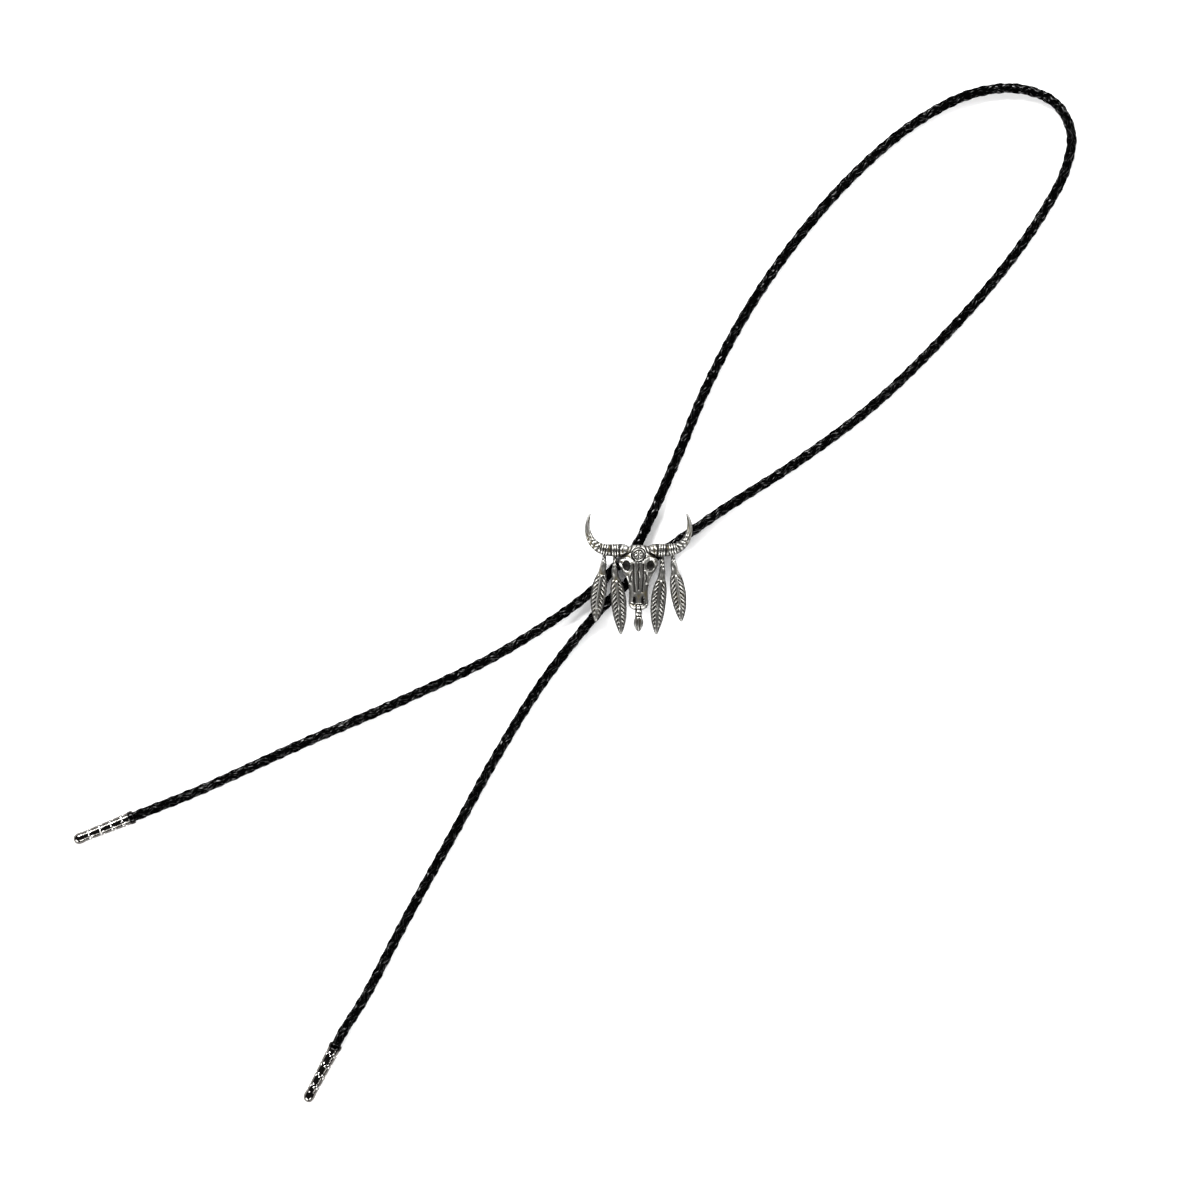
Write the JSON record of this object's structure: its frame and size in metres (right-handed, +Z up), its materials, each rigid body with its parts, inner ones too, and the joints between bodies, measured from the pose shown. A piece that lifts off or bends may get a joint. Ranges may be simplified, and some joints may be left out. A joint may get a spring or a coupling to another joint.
{
  "type": "bolo tie",
  "caption": "Bolo tie laid flat: a round braided leather cord with metal tips, held by a cast openwork slide ornament on a clip.",
  "frame": {"origin": "on the surface that the tie lies on, under the middle of the clip's flat back", "axes": "+Z up from the surface, through the clip and the ornament; +Y along the tie from the clip to the neck loop; +X to the right of it, seen from above"},
  "size_m": [0.1317, 0.4588, 0.0118],
  "materials": {
    "black_leather": "black dyed leather laces, lightly waxed",
    "clip_steel": "plain bright steel",
    "aged_pewter": "antiqued pewter, dark in its recesses and rubbed bright on its ridges",
    "bright_metal": "polished nickel plate, tarnished dark between its dots and rings"
  },
  "bodies": {
    "root": {"braided_cord": "black_leather", "cord_clip": "clip_steel", "slide_ornament": "aged_pewter", "cord_tip_left": "bright_metal", "cord_tip_right": "bright_metal"}
  },
  "joints": []
}
